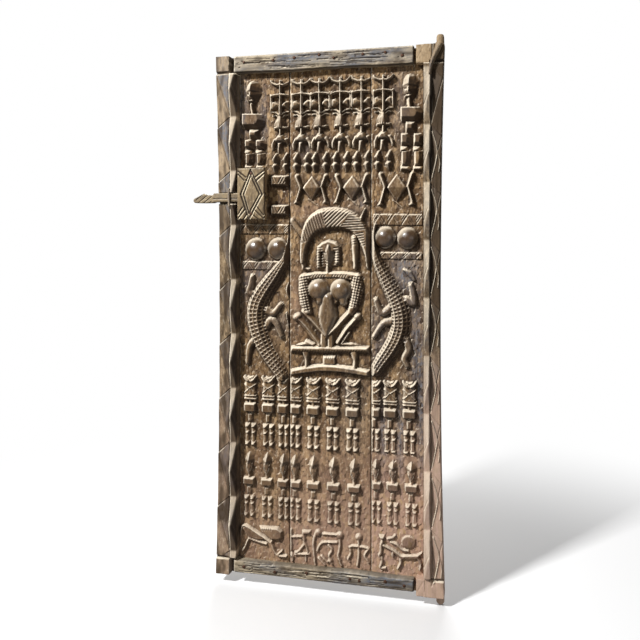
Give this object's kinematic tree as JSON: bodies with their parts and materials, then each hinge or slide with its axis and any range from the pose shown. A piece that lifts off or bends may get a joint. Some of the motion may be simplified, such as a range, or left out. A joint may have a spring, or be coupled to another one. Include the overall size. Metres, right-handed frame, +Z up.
{
  "type": "door leaf",
  "caption": "Carved plank door leaf between bowed stiles, with nailed end rails, wooden pivots made in one piece with a stile, and a sliding bolt in a tumbler lock case.",
  "frame": {"origin": "on the pivots' axis, at the level of the leaf's lower edge, where the lower pivot starts", "axes": "+X to the right as the carved face is seen, +Y out of the plain back, +Z up along the pivots"},
  "size_m": [0.983, 0.091, 2.13],
  "materials": {
    "carved_plank": "weathered, hand carved",
    "stile": "weathered, adzed",
    "rail": "weathered grey, adzed",
    "lock_case": "handled, incised",
    "lock_bolt": "handled, grooved",
    "tumbler": "whittled",
    "iron": "forged, rusted"
  },
  "bodies": {
    "leaf": {"left_plank": "carved_plank", "middle_plank": "carved_plank", "right_plank": "carved_plank", "left_stile": "stile", "right_stile": "stile", "top_rail": "rail", "bottom_rail": "rail", "lock_case": "lock_case", "top_rail_nails": "iron", "bottom_rail_nails": "iron", "lock_nails": "iron", "back_staples": "iron"},
    "bolt": {"lock_bolt": "lock_bolt"},
    "tumbler_left": {"tumbler_left": "tumbler"},
    "tumbler_middle": {"tumbler_middle": "tumbler"},
    "tumbler_right": {"tumbler_right": "tumbler"}
  },
  "joints": [
    {"name": "bolt_slide", "type": "slide", "parent": "leaf", "child": "bolt", "axis": [1, 0, 0], "range_m": [-0.008, 0.101]},
    {"name": "tumbler_left_slide", "type": "slide", "parent": "leaf", "child": "tumbler_left", "axis": [0, 0, 1], "range_m": [0, 0.012]},
    {"name": "tumbler_middle_slide", "type": "slide", "parent": "leaf", "child": "tumbler_middle", "axis": [0, 0, 1], "range_m": [0, 0.012]},
    {"name": "tumbler_right_slide", "type": "slide", "parent": "leaf", "child": "tumbler_right", "axis": [0, 0, 1], "range_m": [0, 0.012]}
  ],
  "couplings": [
    {"joint": "tumbler_middle_slide", "follows": "tumbler_left_slide", "ratio": 1},
    {"joint": "tumbler_right_slide", "follows": "tumbler_left_slide", "ratio": 1}
  ]
}
